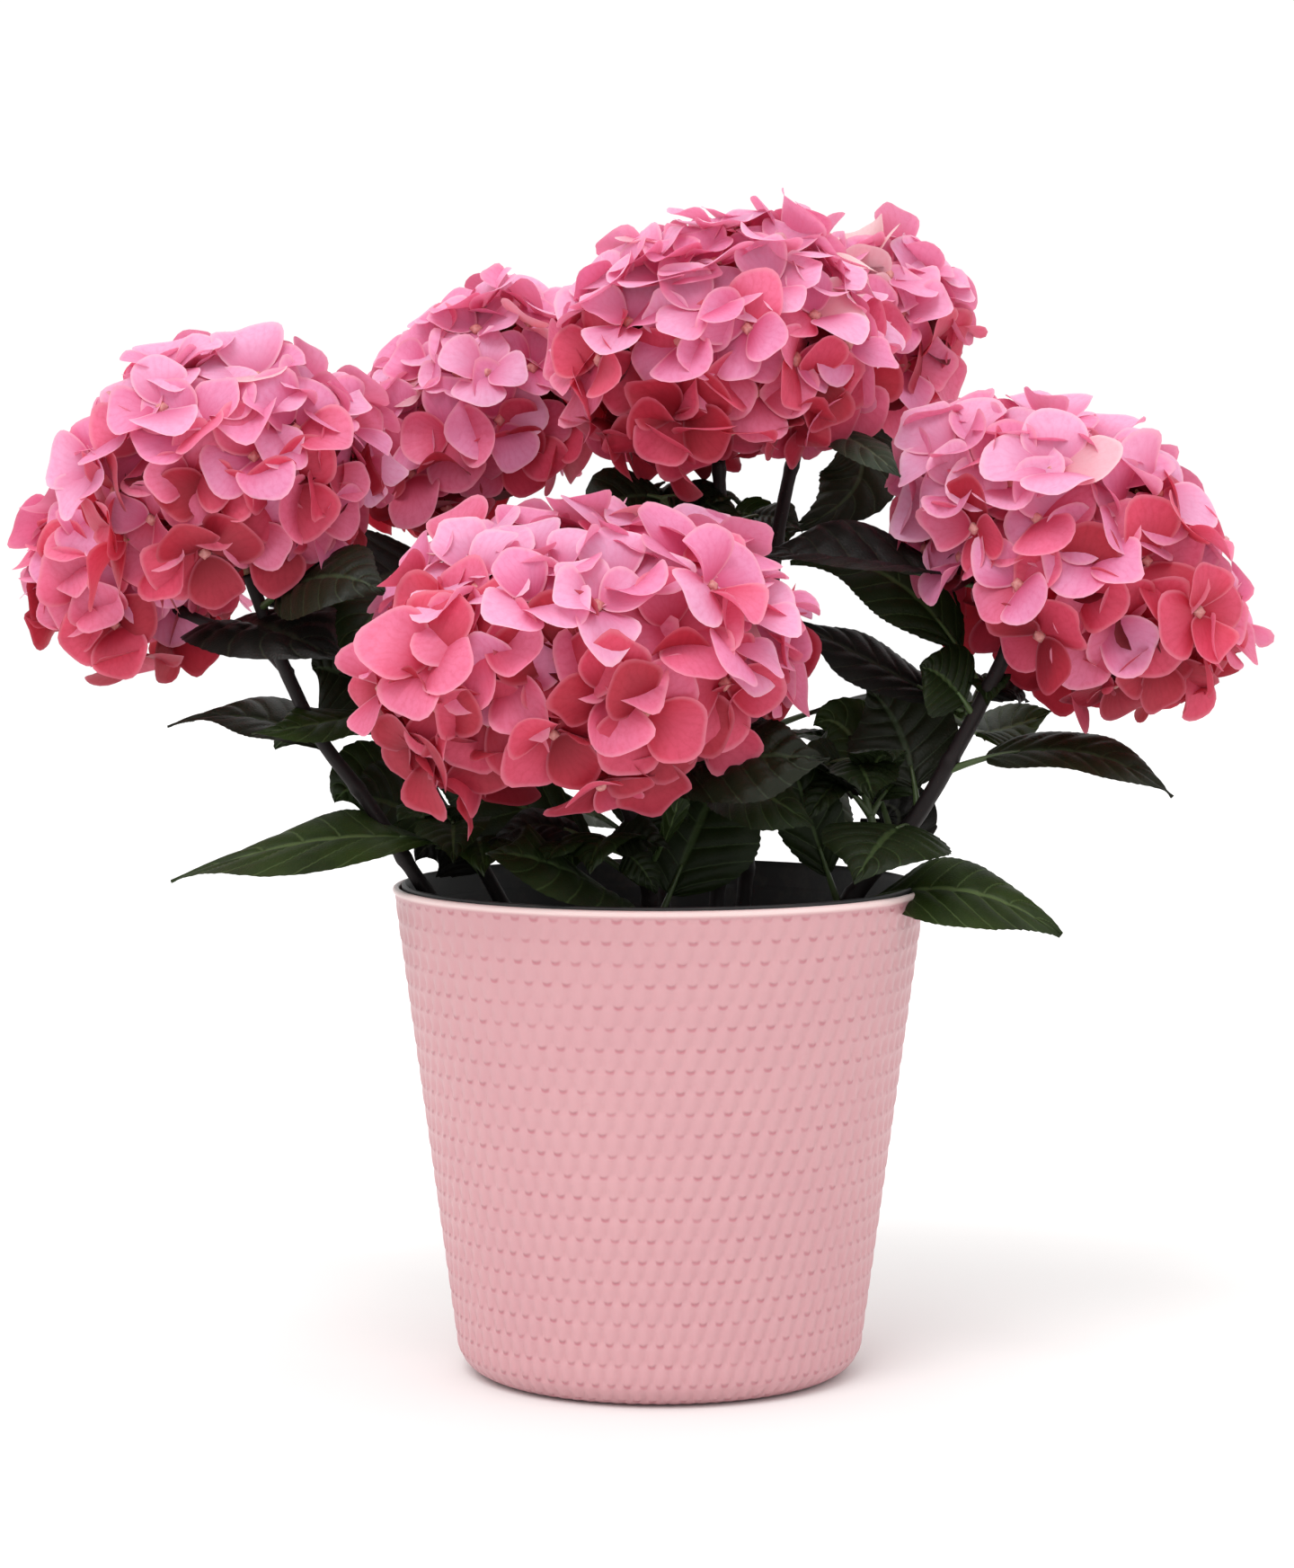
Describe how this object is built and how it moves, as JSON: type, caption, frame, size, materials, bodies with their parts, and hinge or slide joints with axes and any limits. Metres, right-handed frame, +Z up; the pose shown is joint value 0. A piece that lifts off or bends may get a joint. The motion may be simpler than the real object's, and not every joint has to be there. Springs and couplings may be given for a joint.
{
  "type": "hydrangea shrub",
  "caption": "Leafy mophead hydrangea shrub in bloom on slender woody stems, growing in compost inside a conical plastic planter with a dimpled wall.",
  "frame": {"origin": "middle of the planter's flat underside, on the ground", "axes": "+Z up, +X to the right and -Y to the front, seen from the side of the largest low flower head"},
  "size_m": [0.5643, 0.3793, 0.5262],
  "materials": {
    "planter_plastic": "satin pale pink moulded plastic with a raised dimple pattern",
    "grower_plastic": "thin matt black plastic",
    "compost": "damp crumbly bark and peat compost",
    "bark": "smooth dark purplish brown bark with small pale pores",
    "petals": "soft matt pink sepals, paler at the edges and deeper in the shade",
    "foliage": "satin dark green serrated leaves with paler veins, a few purple black"
  },
  "bodies": {
    "root": {"planter": "planter_plastic", "grower_pot": "grower_plastic", "compost": "compost", "shoot_far_left": "bark", "stem_back": "bark", "stem_back_left": "bark", "stem_back_right": "bark", "stem_centre": "bark", "stem_front": "bark", "stem_left": "bark", "stem_right": "bark", "flower_head_back": "petals", "flower_head_back_left": "petals", "flower_head_far_left": "petals", "flower_head_front": "petals", "flower_head_left": "petals", "flower_head_right": "petals", "flower_head_top": "petals", "flower_head_top_right": "petals", "leaf_mass_back_left": "foliage", "leaf_mass_back_right": "foliage", "leaf_mass_back_top": "foliage", "leaf_mass_centre_high": "foliage", "leaf_mass_centre_low": "foliage", "leaf_mass_front_low": "foliage", "leaf_mass_left_high": "foliage", "leaf_mass_left_low": "foliage", "leaf_mass_right_high": "foliage", "leaf_mass_right_low": "foliage", "leaf_back_end": "foliage", "leaf_back_far_left": "foliage", "leaf_back_far_right": "foliage", "leaf_back_low_left": "foliage", "leaf_back_low_right": "foliage", "leaf_front_fold": "foliage", "leaf_front_glossy": "foliage", "leaf_front_left": "foliage", "leaf_front_upright": "foliage", "leaf_left_dark": "foliage", "leaf_left_front": "foliage", "leaf_left_hanging": "foliage", "leaf_left_long": "foliage", "leaf_left_rim": "foliage", "leaf_left_short": "foliage", "leaf_right_behind": "foliage", "leaf_right_crinkled": "foliage", "leaf_right_dark": "foliage", "leaf_right_folded": "foliage", "leaf_right_green": "foliage", "leaf_right_inner": "foliage", "leaf_right_long": "foliage", "leaf_right_rim": "foliage", "leaf_right_standing": "foliage", "leaf_right_upright": "foliage", "leaf_top_behind": "foliage", "leaf_top_small": "foliage"}
  },
  "joints": []
}
